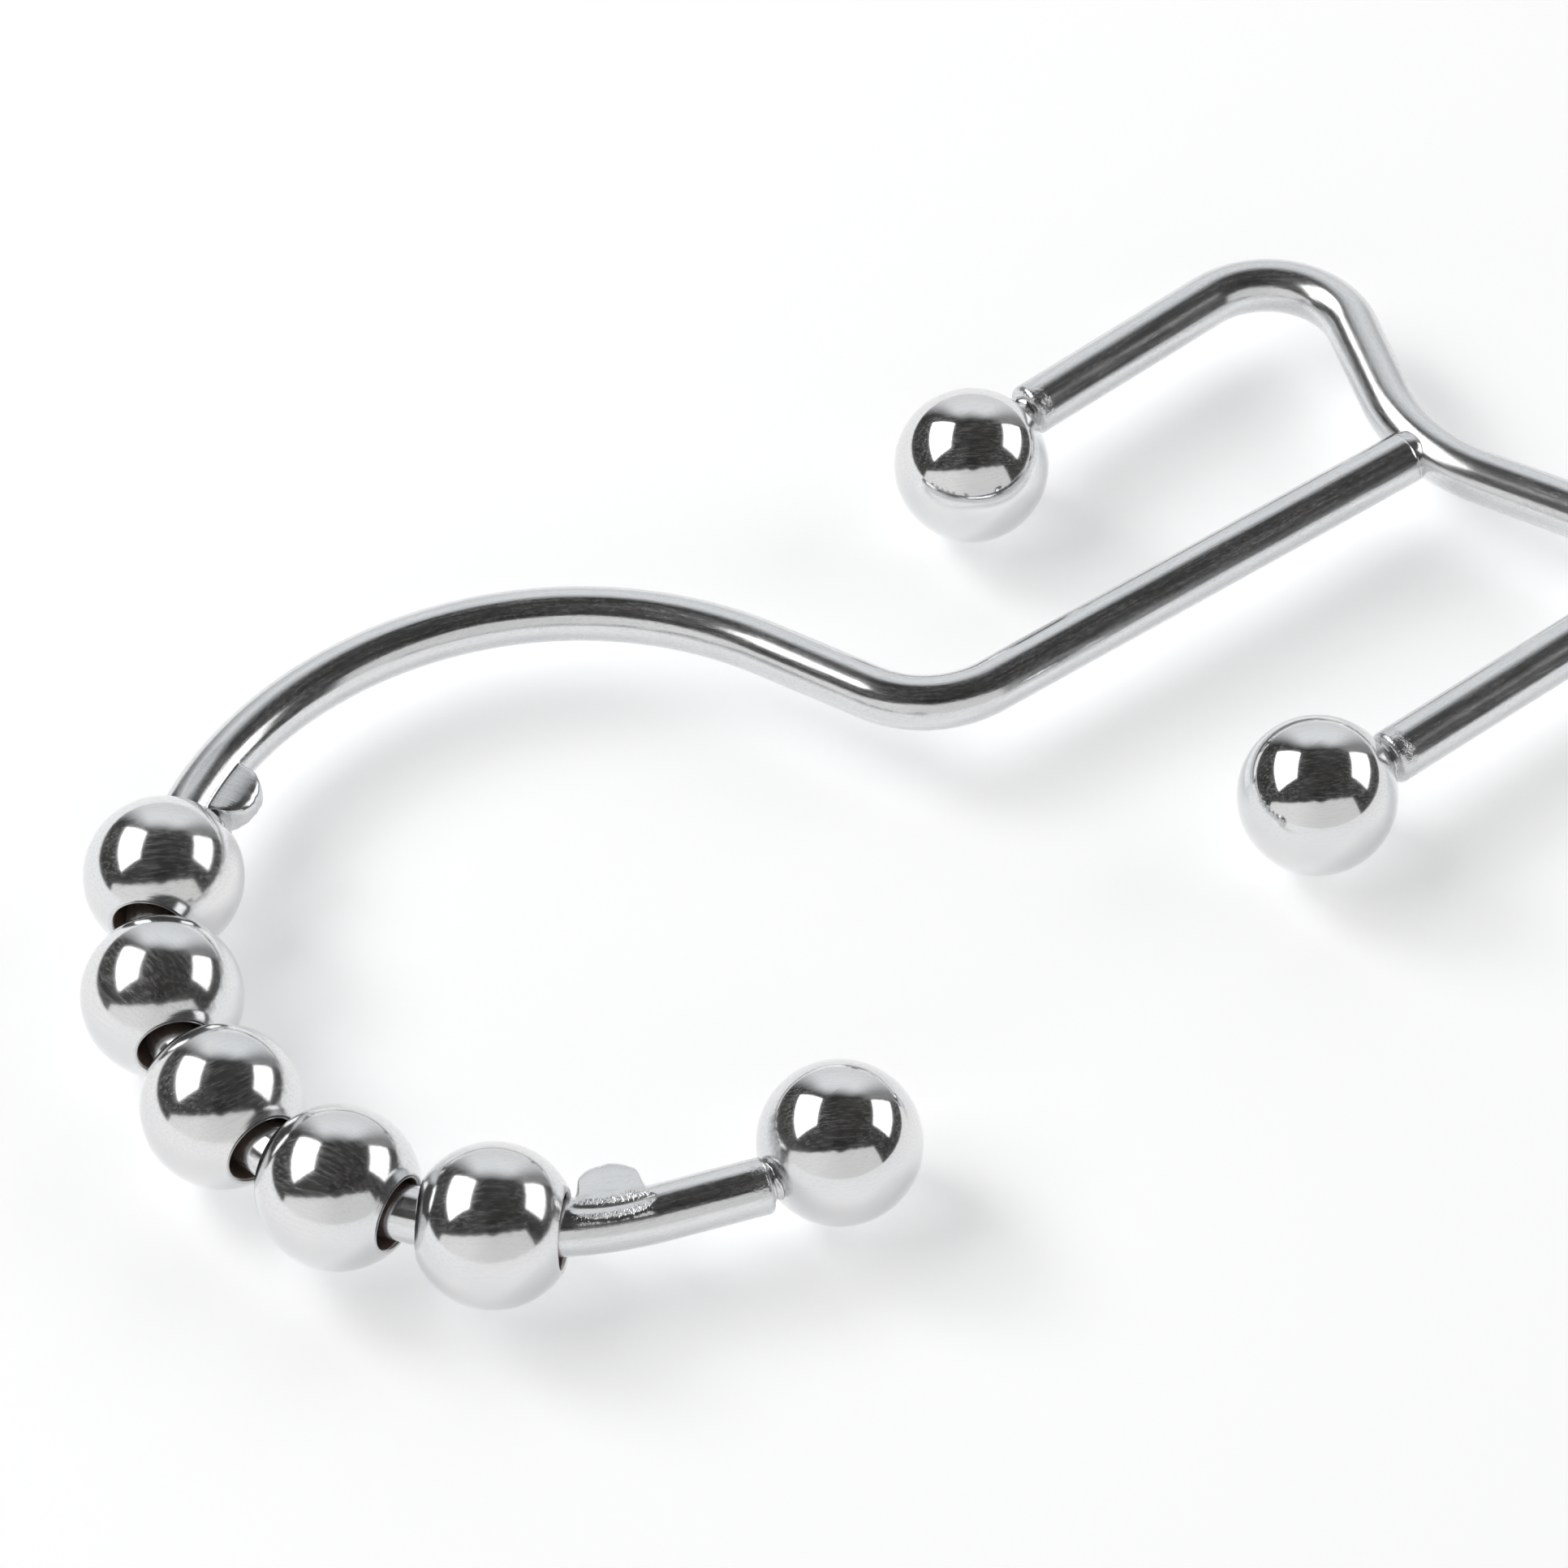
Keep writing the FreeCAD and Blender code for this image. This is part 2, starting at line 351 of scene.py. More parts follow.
class Nodes:
    """Short hand for a node tree: each call adds one node or a few and gives back an output."""

    def __init__(self, tree):
        self.tree = tree
        tree.nodes.clear()

    def add(self, kind, output=0, inputs=(), **settings):
        node = self.tree.nodes.new(kind)
        for key, value in settings.items():
            setattr(node, key, value)
        for key, value in dict(inputs).items():
            if isinstance(value, bpy.types.NodeSocket):
                self.tree.links.new(value, node.inputs[key])
            else:
                node.inputs[key].default_value = value
        return node.outputs[output]

    def close(self, kind, surface):
        """Link a surface to the tree's output node."""
        output = self.tree.nodes.new(kind)
        self.tree.links.new(surface, output.inputs["Surface"])

    def math(self, operation, a, b=0.0):
        return self.add("ShaderNodeMath", 0, {0: a, 1: b}, operation=operation)

    def times(self, a, b):
        return self.math("MULTIPLY", a, b)

    def plus(self, a, b):
        return self.math("ADD", a, b)

    def vector(self, operation, a, b=(0.0, 0.0, 0.0), output="Vector"):
        return self.add("ShaderNodeVectorMath", output, {0: a, 1: b}, operation=operation)

    def joined(self, x, y, z=0.0):
        return self.add("ShaderNodeCombineXYZ", 0, {0: x, 1: y, 2: z})

    def part(self, vector, axis):
        return self.add("ShaderNodeSeparateXYZ", axis, {0: vector})

    def dot(self, vector, direction):
        return self.vector("DOT_PRODUCT", vector, direction, "Value")

    def length(self, vector):
        return self.vector("LENGTH", vector, output="Value")

    def here(self, coordinate="Object"):
        """Where the shaded point is."""
        return self.add("ShaderNodeTexCoord", coordinate)

    def ray(self, kind):
        """1 for rays of that kind."""
        return self.add("ShaderNodeLightPath", f"Is {kind} Ray")

    def step(self, value, start, end):
        """0 before start, 1 after end and smooth between them."""
        return self.add("ShaderNodeMapRange", "Result",
                        {"Value": value, "From Min": start, "From Max": end},
                        interpolation_type="SMOOTHSTEP")

    def span(self, value, low, high):
        """Plain scale of a value from 0..1 to low..high."""
        return self.add("ShaderNodeMapRange", "Result",
                        {"Value": value, "To Min": low, "To Max": high})

    def inside(self, value, low, high, soft):
        """1 between low and high, with both edges soft."""
        rise = self.step(value, low - soft, low + soft)
        fall = self.step(value, high + soft, high - soft)
        return self.times(rise, fall)

    def mix(self, factor, a, b):
        """Plain mix of two colours."""
        return self.add("ShaderNodeMix", 2, {0: factor, 6: a, 7: b}, data_type="RGBA")

    def shades(self, value, fade, low, high):
        """Grey that goes from low to high as the value crosses the fade."""
        return self.mix(self.step(value, *fade), grey(*low), grey(*high))

    def grain(self, vector, scale, detail=2.0, roughness=0.5):
        """Noise from 0 to 1, about 0.5 on average."""
        return self.add("ShaderNodeTexNoise", 0,
                        {"Vector": vector, "Scale": scale, "Detail": detail,
                         "Roughness": roughness})

    def drawn_out(self, vector, along, across, detail, roughness=0.5):
        """Noise of one scale along X and another across it."""
        stretched = self.vector("MULTIPLY", vector, (along, across, across))
        return self.grain(stretched, 1.0, detail, roughness)

    def relief(self, *layers):
        """Height in metres of layers: each is a pattern, its depth in microns, and maybe a mask."""
        height = 0.0
        for pattern, depth, *masks in layers:
            for mask in masks:
                pattern = self.times(pattern, mask)
            height = self.plus(height, self.times(pattern, depth * MICRON))
        return height


def card_view(nodes, direction, facing):
    """Where direction meets an upright card: across and up, in shares of the card's distance.

    facing is the azimuth of the card's nearest point.
    """
    ahead = nodes.dot(direction, studio_point(facing, 0.0))
    ahead = nodes.math("MAXIMUM", ahead, LEAST_AHEAD)
    aside = nodes.dot(direction, studio_point(facing + 90.0, 0.0))
    up = nodes.dot(direction, UP)
    return nodes.math("DIVIDE", aside, ahead), nodes.math("DIVIDE", up, ahead)


def side_strip(nodes, direction, colour):
    """Dim strip of the room to the right of the paper."""
    across, up = card_view(nodes, direction, STRIP_AZIMUTH)
    strip = nodes.times(nodes.inside(across, *STRIP_SIDES, STRIP_SOFT),
                        nodes.step(up, *STRIP_TOP_FADE))
    strip = nodes.times(strip, nodes.step(up, *CARD_FOOT_FADE))
    return nodes.mix(strip, colour, grey(*STRIP_GREY))


def paper_backdrop(nodes, direction, colour):
    """Grey paper hung behind the hook: soft at its edges and darker towards the table."""
    across, up = card_view(nodes, direction, PAPER_AZIMUTH)
    past_half = nodes.plus(nodes.math("ABSOLUTE", across), -PAPER_HALF)
    past_side = nodes.math("DIVIDE", past_half, PAPER_SIDE_FADE)
    past_top = nodes.math("DIVIDE", nodes.plus(up, -PAPER_TOP), PAPER_TOP_FADE)
    past = nodes.length(nodes.joined(nodes.math("MAXIMUM", past_side, 0.0),
                                     nodes.math("MAXIMUM", past_top, 0.0)))
    shape = nodes.times(nodes.step(past, 1.0, 0.0), nodes.step(up, *CARD_FOOT_FADE))
    return nodes.mix(shape, colour, nodes.shades(up, PAPER_SHADE, *PAPER_GREYS))


def white_wall(nodes, direction, colour):
    """White wall behind the camera, with a ragged top and foot."""
    across, up = card_view(nodes, direction, WALL_AZIMUTH)
    ragged = nodes.times(nodes.plus(nodes.grain(direction, WALL_RAGGED_SCALE), -0.5), WALL_RAGGED)
    shape = nodes.times(nodes.inside(across, *WALL_SIDES, WALL_SOFT),
                        nodes.inside(nodes.plus(up, ragged), *WALL_HEIGHTS, WALL_SOFT))
    return nodes.mix(shape, colour, nodes.shades(across, WALL_SHADE, *WALL_GREYS))


def camera_seen(nodes, direction, colour):
    """Dark round spot of the camera's lens, which the plating mirrors."""
    towards = nodes.dot(direction, studio_point(180.0, VIEW_ELEVATION_DEG))
    outer, inner = (math.cos(math.radians(deg)) for deg in LENS_SPOT_DEG)
    return nodes.mix(nodes.step(towards, outer, inner), colour, grey(*LENS_SPOT_GREY))


def make_world():
    """Studio round the table: a dark room, its cards, and plain white where the camera looks."""
    world = bpy.data.worlds.new("studio")
    bpy.context.scene.world = world
    world.use_nodes = True
    nodes = Nodes(world.node_tree)
    direction = nodes.here("Generated")
    clutter = nodes.grain(direction, ROOM_CLUTTER_SCALE)
    colour = nodes.shades(clutter, ROOM_CLUTTER_FADE, *ROOM_GREYS)
    for part in (side_strip, paper_backdrop, white_wall, camera_seen):
        colour = part(nodes, direction, colour)
    below = nodes.step(nodes.dot(direction, UP), *HORIZON_FADE)
    colour = nodes.mix(below, colour, WHITE)
    colour = nodes.mix(nodes.ray("Camera"), colour, WHITE)
    sky = nodes.add("ShaderNodeBackground", 0, {"Color": colour, "Strength": 1.0})
    nodes.close("ShaderNodeOutputWorld", sky)


def material(name):
    made = bpy.data.materials.new(name)
    made.use_nodes = True
    return made, Nodes(made.node_tree)


def make_table():
    """White table: it takes the hook's shadow, and fades to plain white away from the hook."""
    half = TABLE_SIZE / 2
    mesh = bpy.data.meshes.new("table")
    corners = [(-half, -half, TABLE_Z), (half, -half, TABLE_Z),
               (half, half, TABLE_Z), (-half, half, TABLE_Z)]
    mesh.from_pydata(corners, [], [(0, 1, 2, 3)])
    table = bpy.data.objects.new("table", mesh)
    bpy.context.scene.collection.objects.link(table)
    made, nodes = material("table_white")
    far = nodes.step(nodes.length(nodes.here()), *TABLE_FADE)
    seen = nodes.math("MAXIMUM", nodes.ray("Camera"), nodes.ray("Glossy"))
    paper = nodes.add("ShaderNodeBsdfDiffuse", 0, {"Color": grey(*TABLE_GREY)})
    # Painted glow: even emission all over the table, which lifts the hook's shadows
    painted_glow = nodes.add("ShaderNodeEmission", 0,
                     {"Color": grey(*TABLE_PAINTED_GLOW_GREY), "Strength": TABLE_PAINTED_GLOW})
    paper_with_painted_glow = nodes.add("ShaderNodeAddShader", 0, {0: paper, 1: painted_glow})
    brightness = nodes.span(nodes.ray("Camera"), FAR_GLOW_MIRRORED, FAR_GLOW_SEEN)
    glow = nodes.add("ShaderNodeEmission", 0, {"Color": WHITE, "Strength": brightness})
    surface = nodes.add("ShaderNodeMixShader", 0, {0: nodes.times(far, seen), 1: paper_with_painted_glow, 2: glow})
    nodes.close("ShaderNodeOutputMaterial", surface)
    mesh.materials.append(made)


class WireLine:
    """Centre line of a bent wire: straight runs and arcs, read off by the length along it."""

    def __init__(self, start, heading):
        self.end = (start, heading)
        self.spans = []
        self.length = 0.0

    def extend(self, length, curve):
        self.spans.append((self.length, length, self.end, curve))
        self.length += length
        self.end = self.at(self.length)

    def run(self, length):
        self.extend(length, 0.0)

    def bend(self, radius, turn):
        """Bend by turn degrees: anticlockwise if positive."""
        self.extend(radius * abs(math.radians(turn)), math.copysign(1 / radius, turn))

    def at(self, along):
        """Point at that length, and the heading there in radians."""
        for first, length, (start, heading), curve in self.spans:
            if along <= first + length:
                break
        gone = along - first
        if curve == 0.0:
            return start + way(heading) * gone, heading
        centre = start + way(heading + math.pi / 2) / curve
        turned = heading + gone * curve
        return centre - way(turned + math.pi / 2) / curve, turned


def main_line():
    """Line of the main wire, from its tip to the end of its shank."""
    tip_heading = math.radians(tip_deg - 90)
    start = way(math.radians(tip_deg)) * ARC_R - way(tip_heading) * TIP_LEN
    line = WireLine(start, tip_heading)
    line.run(TIP_LEN)
    line.bend(ARC_R, ARC_END_DEG - tip_deg)
    turn = 90 - ARC_END_DEG
    drop = REVERSE_R * (1 - math.cos(math.radians(turn)))
    line.run((line.end[0].y - SHANK_OFFSET - drop) / math.sin(math.radians(turn)))
    line.bend(REVERSE_R, turn)
    line.run(SHANK_LEN)
    return line


def cross_line(middle):
    """Line of the cross wire, from the far leg's end to the near one's."""
    turned = math.radians(CROSS_TURN)
    toe = math.radians(TOE_IN)
    slope = math.radians(SLOPE_DEG)
    out = MIDDLE_R * (1 - math.cos(slope)) + SLOPE_LEN * math.sin(slope)
    aside = MIDDLE_R * math.sin(slope) + SLOPE_LEN * math.cos(slope)
    out += HOOK_R * (math.sin(toe) - math.cos(slope)) - FAR_LEG * math.cos(toe)
    aside += HOOK_R * (math.sin(slope) + math.cos(toe)) - FAR_LEG * math.sin(toe)
    start = middle + way(turned) * out + way(turned + math.pi / 2) * aside
    line = WireLine(start, turned + toe)
    bend = 90 + SLOPE_DEG + TOE_IN
    line.run(FAR_LEG)
    line.bend(HOOK_R, -bend)
    line.run(SLOPE_LEN)
    line.bend(MIDDLE_R, 2 * SLOPE_DEG)
    line.run(SLOPE_LEN)
    line.bend(HOOK_R, -bend)
    line.run(NEAR_LEG)
    return line


def smooth(value, start, end):
    """0 before start, 1 after end and smooth between them."""
    share = min(max((value - start) / (end - start), 0.0), 1.0)
    return share * share * (3 - 2 * share)


def soft_min(a, b, radius):
    """Smaller of two values, with the corner between them rounded."""
    blend = max(radius - abs(a - b), 0.0) / radius
    return min(a, b) - blend * blend * radius / 4


def ear_face(angle, stop):
    """How far an ear's flat or curved face is from the wire's line, at that angle."""
    facing = math.cos(angle)
    farthest = WIRE_R + STOP_R
    thickest = stop.thin + farthest * stop.slope + stop.curve * (farthest - ROUND_FROM) ** 2
    linear = abs(math.sin(angle)) + facing * stop.slope
    face = thickest / max(linear, EAR_LEAST_RISE)
    if face * facing <= ROUND_FROM:
        return face
    linear -= 2 * stop.curve * facing * ROUND_FROM
    rest = thickest - stop.curve * ROUND_FROM ** 2
    root = math.sqrt(linear ** 2 + 4 * stop.curve * facing ** 2 * rest)
    return 2 * rest / max(linear + root, EAR_LEAST_RISE)


def stop_reach(along, angle, stop):
    """How far a stop's ear reaches from the wire's line: angle is up from the arc's inside."""
    facing = math.cos(angle)
    if facing < EAR_LEAST_FACING:
        return 0.0
    rim = WIRE_R + STOP_R
    # Lines across the wire draw together towards the arc's centre, so the ear's width is sought
    for _ in range(EAR_ROUNDS):
        aside = along * (ARC_R - rim) / ARC_R
        rim = WIRE_R + math.sqrt(max(STOP_R ** 2 - aside ** 2, 0.0))
    spot = Vector((along * RAGGED_ALONG, angle * RAGGED_ROUND, RAGGED_SEED))
    ragged = RAGGED_RIM * noise.noise(spot)
    reach = soft_min(rim / facing + ragged, ear_face(angle, stop), STOP_ROUNDING)
    side = smooth(abs(aside), STOP_R, STOP_R - STOP_SIDE_FADE)
    return WIRE_R + (reach - WIRE_R) * side


def pressed_radius(along, angle, stop):
    """Radius of the wire near a stop, along from its middle: two dents and an ear."""
    radius = max(WIRE_R, stop_reach(along, angle, stop))
    depth = stop.dent * (1 - (along / PRESS_HALF) ** 2)
    tilt = abs(math.sin(angle))
    if depth > 0.0 and tilt > DENT_LEAST_TILT:
        radius = min(radius, (WIRE_R - depth) / tilt)
    return radius


def rounded_end(distance):
    """How much a wire is thinner at that distance from its end."""
    if distance >= END_ROUNDING:
        return 0.0
    rest = END_ROUNDING - distance
    return END_ROUNDING - math.sqrt(max(END_ROUNDING ** 2 - rest ** 2, 0.0))


def ring_places(line, stops):
    """Lengths along a line where the wire's rings stand, closer together near ends and stops."""
    places = []
    along = 0.0
    while along < line.length:
        places.append(along)
        if min(along, line.length - along) < END_RING_ZONE:
            along += END_RING_STEP
        elif any(abs(along - stop) < PRESS_HALF + STOP_RING_MARGIN for stop in stops):
            along += STOP_RING_STEP
        else:
            along += RING_STEP
    return places + [line.length]


def ring_faces(rings, sides):
    """Faces between rings of points, with sides points in each."""
    faces = []
    for ring in range(rings - 1):
        low = ring * sides
        high = low + sides
        for step in range(sides):
            after = (step + 1) % sides
            faces.append((low + step, high + step, high + after, low + after))
    return faces


def wire_mesh(name, line, stops):
    """Tube along a line. Its map holds the length along it and the turn round it.

    The turn starts under the wire and goes up its right side, towards the inside of the arc.
    """
    # Place along the line, and share of the wire's radius: two smaller rings close each end
    rings = [(0.0, 0.0), (0.0, 0.5)]
    rings += [(along, 1.0) for along in ring_places(line, stops)]
    rings += [(line.length, 0.5), (line.length, 0.0)]
    points = []
    for along, share in rings:
        centre, heading = line.at(along)
        right = way(heading - math.pi / 2)
        thinner = max(rounded_end(along), rounded_end(line.length - along))
        for step in range(WIRE_SIDES):
            angle = 2 * math.pi * step / WIRE_SIDES - math.pi / 2
            radius = WIRE_R
            for place, stop in stops.items():
                if abs(along - place) < PRESS_HALF:
                    radius = pressed_radius(along - place, angle, stop)
            radius = max(radius - thinner, 0.0) * share
            points.append(centre + (right * math.cos(angle) + UP * math.sin(angle)) * radius)
    mesh = bpy.data.meshes.new(name)
    mesh.from_pydata([point * MM for point in points], [], ring_faces(len(rings), WIRE_SIDES))
    layer = mesh.uv_layers.new(name=WIRE_MAP)
    index = 0
    for ring in range(len(rings) - 1):
        for step in range(WIRE_SIDES):
            for further, turned in ((0, 0), (1, 0), (1, 1), (0, 1)):
                along = rings[ring + further][0]
                layer.data[index].uv = (along, (step + turned) / WIRE_SIDES)
                index += 1
    return mesh


def turned_mesh(name, outline, start, along, lumps):
    """Turned piece: outline is (length, radius) along an axis from start. It is a little lumpy."""
    across = along.cross(UP).normalized()
    lift = across.cross(along)
    points = []
    for length, radius in outline:
        for step in range(TURNED_SIDES):
            angle = 2 * math.pi * step / TURNED_SIDES
            out = across * math.cos(angle) + lift * math.sin(angle)
            place = start + along * length + out * radius
            swell = noise.noise(place * LUMP_SCALE) + 0.5 * noise.noise(place * FINE_LUMP_SCALE)
            points.append(place + out * lumps * swell)
    mesh = bpy.data.meshes.new(name)
    mesh.from_pydata([point * MM for point in points], [],
                     ring_faces(len(outline), TURNED_SIDES))
    return mesh


def add_piece(name, mesh, look, node):
    """Smooth object that moves with the hook and stands for that solid, or for a part of it."""
    mesh.polygons.foreach_set("use_smooth", [True] * len(mesh.polygons))
    mesh.materials.append(look)
    piece = bpy.data.objects.new(name, mesh)
    bpy.context.scene.collection.objects.link(piece)
    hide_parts(node)
    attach(piece, "hook")


def ball_centre(name):
    low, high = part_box(name)
    return (low + high) / 2 / MM


def add_neck(name, wire_end, heading, ball, look, node):
    """Weld between a wire's end and its ball, wider where it runs out on either side."""
    start = wire_end - way(heading) * NECK_IN_WIRE
    reach = ball_centre(ball) - start
    length = reach.length - BALL_R + NECK_IN_BALL
    outline = []
    for step in range(NECK_STEPS + 1):
        share = step / NECK_STEPS
        flare = (smooth(share, *NECK_BALL_ZONE) * NECK_BALL_FLARE
                 + smooth(share, *NECK_WIRE_ZONE) * NECK_WIRE_FLARE)
        outline.append((length * share, NECK_R + flare))
    mesh = turned_mesh(name, outline, start, reach.normalized(), NECK_LUMPS)
    add_piece(name, mesh, look, node)


def plating(nodes, tint, roughness, height, scuffs):
    """Bright plating on a surface raised by height, in metres.

    scuffs is the share of it that fine scratches have dulled.
    """
    normal = nodes.add("ShaderNodeBump", 0, {"Strength": 1.0, "Distance": 1.0, "Height": height})
    bright, dull = (
        nodes.add("ShaderNodeBsdfPrincipled", 0,
                  {"Base Color": tint, "Metallic": 1.0, "Roughness": lobe, "Normal": normal})
        for lobe in (roughness, SCUFF_ROUGHNESS))
    return nodes.add("ShaderNodeMixShader", 0, {0: scuffs, 1: bright, 2: dull})


def close_to(nodes, value, places, outer, inner):
    """1 within inner of the nearest of some places, and 0 beyond outer."""
    nearest = 1e3
    for place in places:
        apart = nodes.math("ABSOLUTE", nodes.math("SUBTRACT", value, place))
        nearest = nodes.math("MINIMUM", nearest, apart)
    return nodes.step(nearest, outer, inner)


def wire_look(name, finish, stops, ends):
    """Drawn and plated wire: lengthwise lines, the press's tick marks and mottled ends."""
    made, nodes = material(name)
    map_point = nodes.add("ShaderNodeUVMap", 0, uv_map=WIRE_MAP)
    along = nodes.part(map_point, "X")
    turn = nodes.part(map_point, "Y")
    angle = nodes.times(turn, 2 * math.pi)
    flow = nodes.joined(along, nodes.times(nodes.math("COSINE", angle), WIRE_R),
                        nodes.times(nodes.math("SINE", angle), WIRE_R))

    lines = nodes.drawn_out(flow, along=0.25, across=6.0, detail=4.0, roughness=0.65)
    waves = nodes.drawn_out(flow, along=0.25, across=0.6, detail=1.0)
    specks = nodes.drawn_out(flow, along=3.0, across=9.0, detail=3.0, roughness=0.7)
    haze = nodes.drawn_out(flow, along=0.4, across=1.6, detail=3.0, roughness=0.6)
    layers = [(lines, 4.5), (waves, 6.0), (specks, 2.2)]
    worn = nodes.plus(nodes.times(specks, 0.5), nodes.times(lines, 0.5))
    scuffs = nodes.span(nodes.step(worn, *WIRE_SCUFFS_FADE), *finish.scuffs)
    roughness = nodes.span(haze, *finish.roughness)

    if stops:
        deep = [place for place, stop in stops.items() if stop.dent > SHALLOW_DENT]
        pressed = close_to(nodes, along, stops, *PRESS_FADE)
        from_top = nodes.math("ABSOLUTE", nodes.math("SUBTRACT", turn, 0.5))
        dent_edge = nodes.times(close_to(nodes, along, deep, *PRESS_FADE),
                                nodes.inside(from_top, *DENT_EDGE_TURNS, TURN_SOFT))
        face = nodes.times(pressed, nodes.inside(from_top, *EAR_FACE_TURNS, TURN_SOFT))
        ticks = nodes.drawn_out(flow, along=3.4, across=1.2, detail=3.0, roughness=0.7)
        scratches = nodes.drawn_out(flow, along=5.0, across=1.0, detail=3.0, roughness=0.6)
        layers += [(ticks, 100.0, dent_edge), (ticks, 6.0, face), (scratches, 3.0, pressed)]
        roughness = nodes.plus(roughness, nodes.times(pressed, PRESS_ROUGHNESS))

    blotches = nodes.grain(flow, 4.5, 3.0, 0.7)
    ragged = nodes.plus(along, nodes.times(nodes.plus(blotches, -0.5), END_RAGGED))
    mottled = close_to(nodes, ragged, ends, *END_FADE)
    height = nodes.relief(*layers, (blotches, 30.0, mottled))
    scuffs = nodes.plus(scuffs, nodes.times(mottled, END_SCUFFS))
    tint = nodes.shades(haze, HAZE_SHADE, *finish.greys)
    nodes.close("ShaderNodeOutputMaterial", plating(nodes, tint, roughness, height, scuffs))
    return made


def upper_half(nodes, spot):
    """1 on the upper half of a ball: that side is more scratched than its underside."""
    return nodes.step(nodes.part(spot, "Z"), *UPPER_FADE)


def polishing_lines(nodes, spot, turn, along, across):
    """Fine lines along +X, turned clockwise by that many radians."""
    turned = nodes.add("ShaderNodeMapping", 0, {0: spot, "Rotation": (0.0, 0.0, turn)})
    return nodes.drawn_out(turned, along, across, detail=3.0, roughness=0.65)


def ball_look(name, centre, weld_side):
    """Polished ball welded to a wire: faint polishing lines, and mottled near its weld."""
    made, nodes = material(name)
    spot = nodes.vector("SUBTRACT", nodes.here(), centre * MM)
    seeded = nodes.vector("ADD", spot, weld_side * BALL_SEED_STEP)
    ripple = nodes.grain(seeded, 500.0, 1.0)
    lines = polishing_lines(nodes, seeded, VIEW_HEADING, along=1100.0, across=9000.0)
    specks = nodes.grain(seeded, 5600.0, 3.0, 0.7)
    haze = nodes.grain(seeded, 300.0, 3.0)
    from_weld = nodes.length(nodes.vector("SUBTRACT", spot, weld_side * BALL_R * MM))
    splash = nodes.step(from_weld, *SPLASH_FADE)
    patchy = nodes.step(nodes.grain(seeded, 420.0), *PATCHY_FADE)
    spatter = nodes.plus(splash, nodes.times(patchy, PATCHY_SPATTER))
    height = nodes.relief((ripple, 3.0), (lines, 0.5), (specks, 2.2, spatter))
    roughness = nodes.plus(nodes.span(haze, *BALL_FINISH.roughness),
                           nodes.times(splash, SPLASH_ROUGHNESS))
    streaks = nodes.times(nodes.step(lines, *BALL_SCUFFS_FADE),
                          nodes.span(haze, *BALL_FINISH.scuffs))
    scuffs = nodes.plus(nodes.times(streaks, upper_half(nodes, spot)),
                        nodes.times(splash, SPLASH_SCUFFS))
    tint = nodes.shades(haze, HAZE_SHADE, *BALL_FINISH.greys)
    nodes.close("ShaderNodeOutputMaterial", plating(nodes, tint, roughness, height, scuffs))
    return made


def roller_look(name, centre, axis, turn, seed):
    """Roller ball: duller than the welded ones, with turning marks round its bore."""
    made, nodes = material(name)
    spot = nodes.vector("SUBTRACT", nodes.here(), centre)
    axial = nodes.dot(spot, axis)
    on_axis = nodes.add("ShaderNodeVectorMath", 0, {0: axis, "Scale": axial}, operation="SCALE")
    off_axis = nodes.length(nodes.vector("SUBTRACT", spot, on_axis))
    seeded = nodes.vector("ADD", spot, ROLLER_SEED_STEP * seed)

    ripple = nodes.grain(seeded, 480.0, 2.0)
    lines = polishing_lines(nodes, seeded, turn, along=1000.0, across=6500.0)
    specks = nodes.grain(seeded, 5600.0, 3.0, 0.7)
    marks = nodes.grain(nodes.joined(off_axis, axial), BORE_MARKS_SCALE, 2.0, 0.6)
    dimples = nodes.grain(seeded, 2600.0, 1.0)
    haze = nodes.grain(seeded, 260.0, 3.0)
    above = upper_half(nodes, spot)
    by_bore = nodes.step(off_axis, *BORE_MARKS_FADE)
    worn = nodes.times(nodes.step(nodes.grain(seeded, 350.0, 2.0), *ROLLER_WORN_FADE), above)
    height = nodes.relief((ripple, 5.0), (lines, 0.9), (dimples, 1.3), (marks, 6.0, by_bore),
                          (specks, 1.6, worn))
    roughness = nodes.plus(nodes.span(haze, *ROLLER_FINISH.roughness),
                           nodes.times(by_bore, BORE_ROUGHNESS))
    streaks = nodes.times(nodes.step(lines, *BALL_SCUFFS_FADE),
                          nodes.span(haze, *ROLLER_FINISH.scuffs))
    on_rim = nodes.inside(off_axis, *BORE_RIM, BORE_RIM_SOFT)
    scuffs = nodes.plus(nodes.times(streaks, above), nodes.times(on_rim, BORE_RIM_SCUFFS))
    tint = nodes.shades(haze, HAZE_SHADE, *ROLLER_FINISH.greys)

    plated = plating(nodes, tint, roughness, height, scuffs)
    # Dark brown diffuse mixed over the plating on the bore's wall
    brown_diffuse = nodes.add("ShaderNodeBsdfDiffuse", 0, {"Color": BORE_BROWN})
    in_bore = nodes.times(nodes.step(off_axis, *BORE_BROWN_FADE), BORE_BROWN_SHARE)
    surface = nodes.add("ShaderNodeMixShader", 0, {0: in_bore, 1: plated, 2: brown_diffuse})
    nodes.close("ShaderNodeOutputMaterial", surface)
    return made


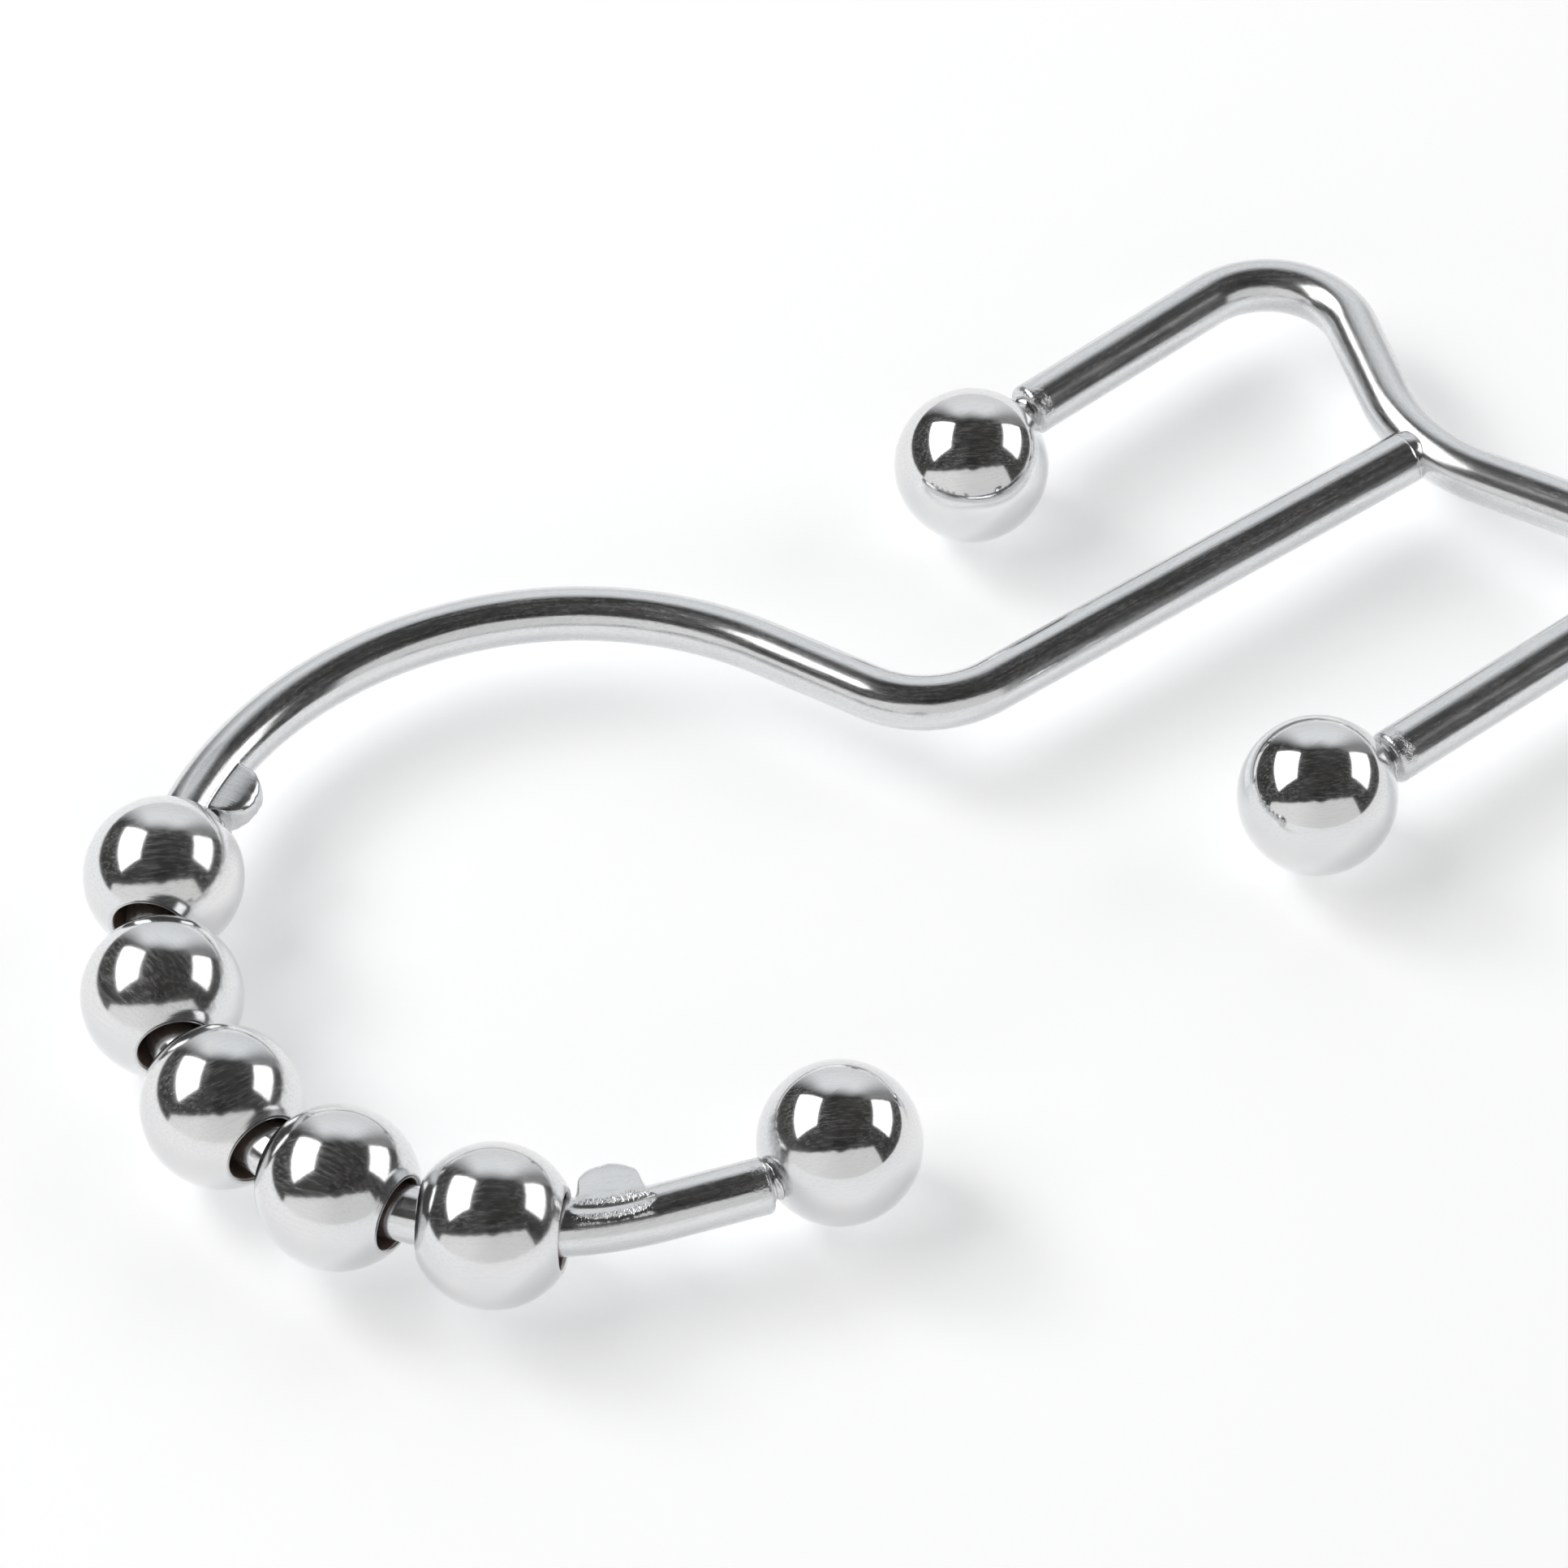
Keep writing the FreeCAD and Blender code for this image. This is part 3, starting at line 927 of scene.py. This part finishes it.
def weld_look():
    """Weld metal under the plating: lumpy and a little dull."""
    made, nodes = material("weld_plate")
    lumps = nodes.grain(nodes.here(), 1900.0, 3.0, 0.6)
    height = nodes.relief((lumps, 7.0))
    roughness = nodes.span(nodes.grain(nodes.here(), 1100.0, 2.0), *WELD_FINISH.roughness)
    scuffs = nodes.span(lumps, *WELD_FINISH.scuffs)
    tint = nodes.shades(lumps, LUMP_SHADE, *WELD_FINISH.greys)
    nodes.close("ShaderNodeOutputMaterial", plating(nodes, tint, roughness, height, scuffs))
    return made


def make_wires():
    """Both wires with their welds, in place of the two solids. Gives the end at each ball."""
    line = main_line()
    stops = {TIP_LEN + math.radians(tip_deg - stop.deg) * ARC_R: stop for stop in arc_stops}
    look = wire_look("main_wire_plate", MAIN_WIRE_FINISH, stops, (0.0,))
    add_piece("drawn_main_wire", wire_mesh("drawn_main_wire", line, stops), look, "main_wire")
    shank_end, heading = line.end
    cross = cross_line(shank_end + Vector((WIRE_R - WELD_SINK, CROSS_OFFSET, 0.0)))
    look = wire_look("cross_wire_plate", CROSS_WIRE_FINISH, {}, (0.0, cross.length))
    add_piece("drawn_cross_wire", wire_mesh("drawn_cross_wire", cross, {}), look, "cross_wire")

    weld = weld_look()
    tip, tip_heading = line.at(0.0)
    far, far_heading = cross.at(0.0)
    near, near_heading = cross.end
    add_neck("tip_weld", tip, tip_heading + math.pi, "tip_ball", weld, "main_wire")
    add_neck("far_weld", far, far_heading + math.pi, "far_hook_ball", weld, "cross_wire")
    add_neck("near_weld", near, near_heading, "near_hook_ball", weld, "cross_wire")
    start = shank_end - way(heading) * COLLAR_BACK
    collar = turned_mesh("joint_weld", COLLAR_OUTLINE, start, way(heading), COLLAR_LUMPS)
    add_piece("joint_weld", collar, weld, "main_wire")
    return {"tip_ball": tip, "far_hook_ball": far, "near_hook_ball": near}


def dress_balls(wire_ends):
    """Give each ball its own plating: the welded ones first, then the rollers."""
    for name, end in wire_ends.items():
        centre = ball_centre(name)
        look = ball_look(name + "_plate", centre, (end - centre).normalized())
        frame["nodes"][name].material_slots[0].material = look
    for number, turn in enumerate(ROLLER_STREAKS_DEG, 1):
        name = f"roller_{number}"
        centre = Vector(hinges[name]["pos_m"])
        axis = Vector(hinges[name]["axis"])
        look = roller_look(name + "_plate", centre, axis, math.radians(turn), number)
        frame["nodes"][name].material_slots[0].material = look


make_camera()
make_lamps()
make_world()
make_table()
dress_balls(make_wires())

bpy.context.scene.view_settings.view_transform = "Standard"
